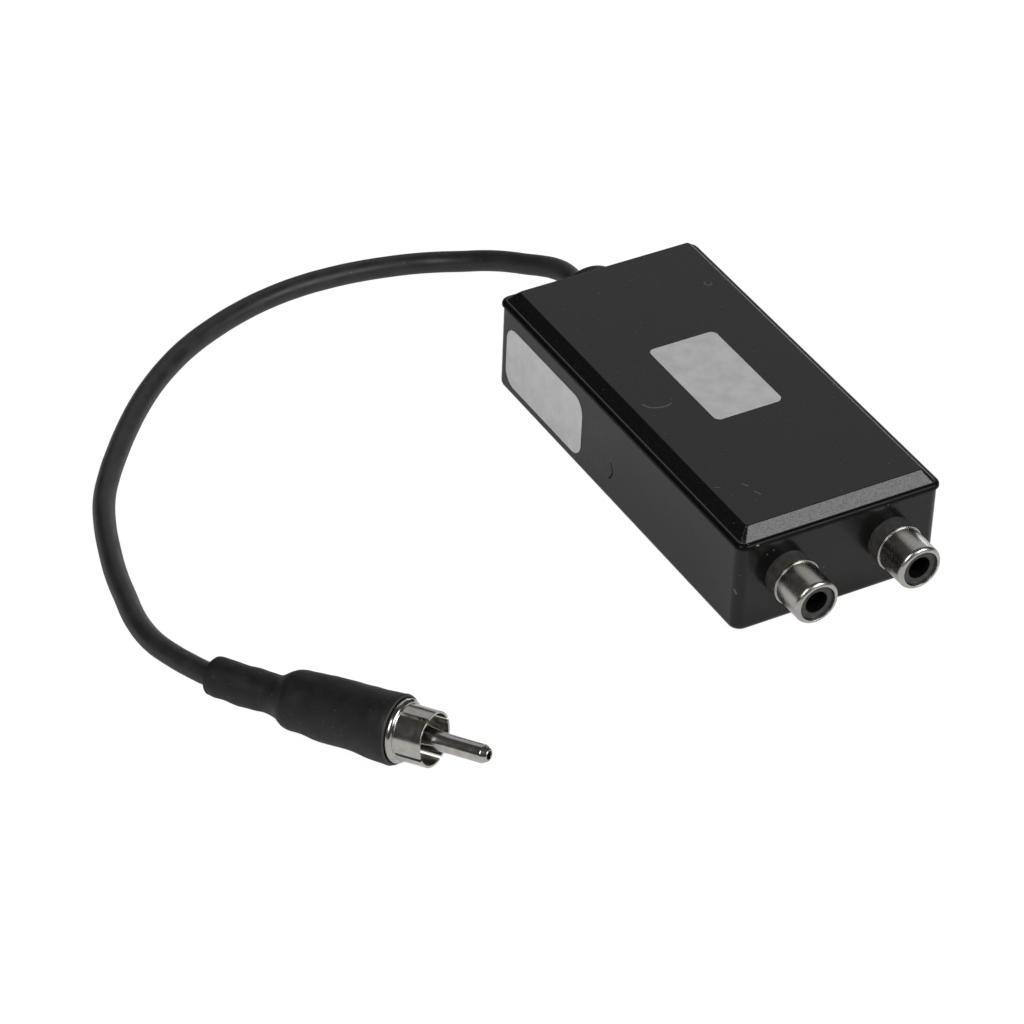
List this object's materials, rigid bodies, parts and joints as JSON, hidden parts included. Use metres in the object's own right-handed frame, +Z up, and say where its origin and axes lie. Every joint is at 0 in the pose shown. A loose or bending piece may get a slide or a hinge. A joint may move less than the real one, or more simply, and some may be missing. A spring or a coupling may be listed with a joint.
{
  "type": "radio noise filter",
  "caption": "Inline radio noise filter: a small moulded case with two phono sockets at one end and a screened cable with a phono plug at the other.",
  "frame": {"origin": "middle of the case's underside, on the surface that it rests on", "axes": "+Z up out of the lid, -Y out of the two sockets, +Y out of the cable's grommet, +X to the right as seen from the sockets"},
  "size_m": [0.1291, 0.141, 0.0205],
  "materials": {
    "case_plastic": "moulded grey, smooth walls and a fine grained lid",
    "black_plastic": "black insulating plastic",
    "black_rubber": "soft black, satin",
    "plated_metal": "bright nickel plating",
    "screw_steel": "zinc plated",
    "contact_brass": "tinned brass",
    "board_laminate": "green laminate",
    "ferrite": "dark grey ferrite",
    "enamelled_wire": "enamelled copper",
    "component_body": "coated component bodies",
    "wire_jacket": "hook-up wire jacket",
    "nylon": "natural nylon",
    "label_paper": "pale grey, bare",
    "label_film": "clear film on the case's grey"
  },
  "bodies": {
    "root": {"base_shell": "case_plastic", "lid": "case_plastic", "lid_screws": "screw_steel", "circuit_board": "board_laminate", "board_screws": "screw_steel", "choke_core": "ferrite", "choke_windings": "enamelled_wire", "coil_cores": "ferrite", "coil_windings": "enamelled_wire", "film_capacitors": "component_body", "disc_capacitors": "component_body", "resistors": "component_body", "signal_wires": "wire_jacket", "earth_wires": "wire_jacket", "cable_core_wire": "wire_jacket", "cable_screen_wire": "contact_brass", "cable_tie": "nylon", "cable_grommet": "black_rubber", "cable": "black_rubber", "plug_sleeve": "black_rubber", "plug_body": "plated_metal", "plug_insulator": "nylon", "plug_pin": "plated_metal", "plug_core_wire": "wire_jacket", "top_label": "label_paper", "side_label": "label_film", "left_socket_bushing": "black_plastic", "left_socket_shell": "plated_metal", "left_socket_insulator": "black_plastic", "left_socket_contact": "contact_brass", "left_socket_tag": "contact_brass", "left_socket_nut": "plated_metal", "right_socket_bushing": "black_plastic", "right_socket_shell": "plated_metal", "right_socket_insulator": "black_plastic", "right_socket_contact": "contact_brass", "right_socket_tag": "contact_brass", "right_socket_nut": "plated_metal"}
  },
  "joints": []
}
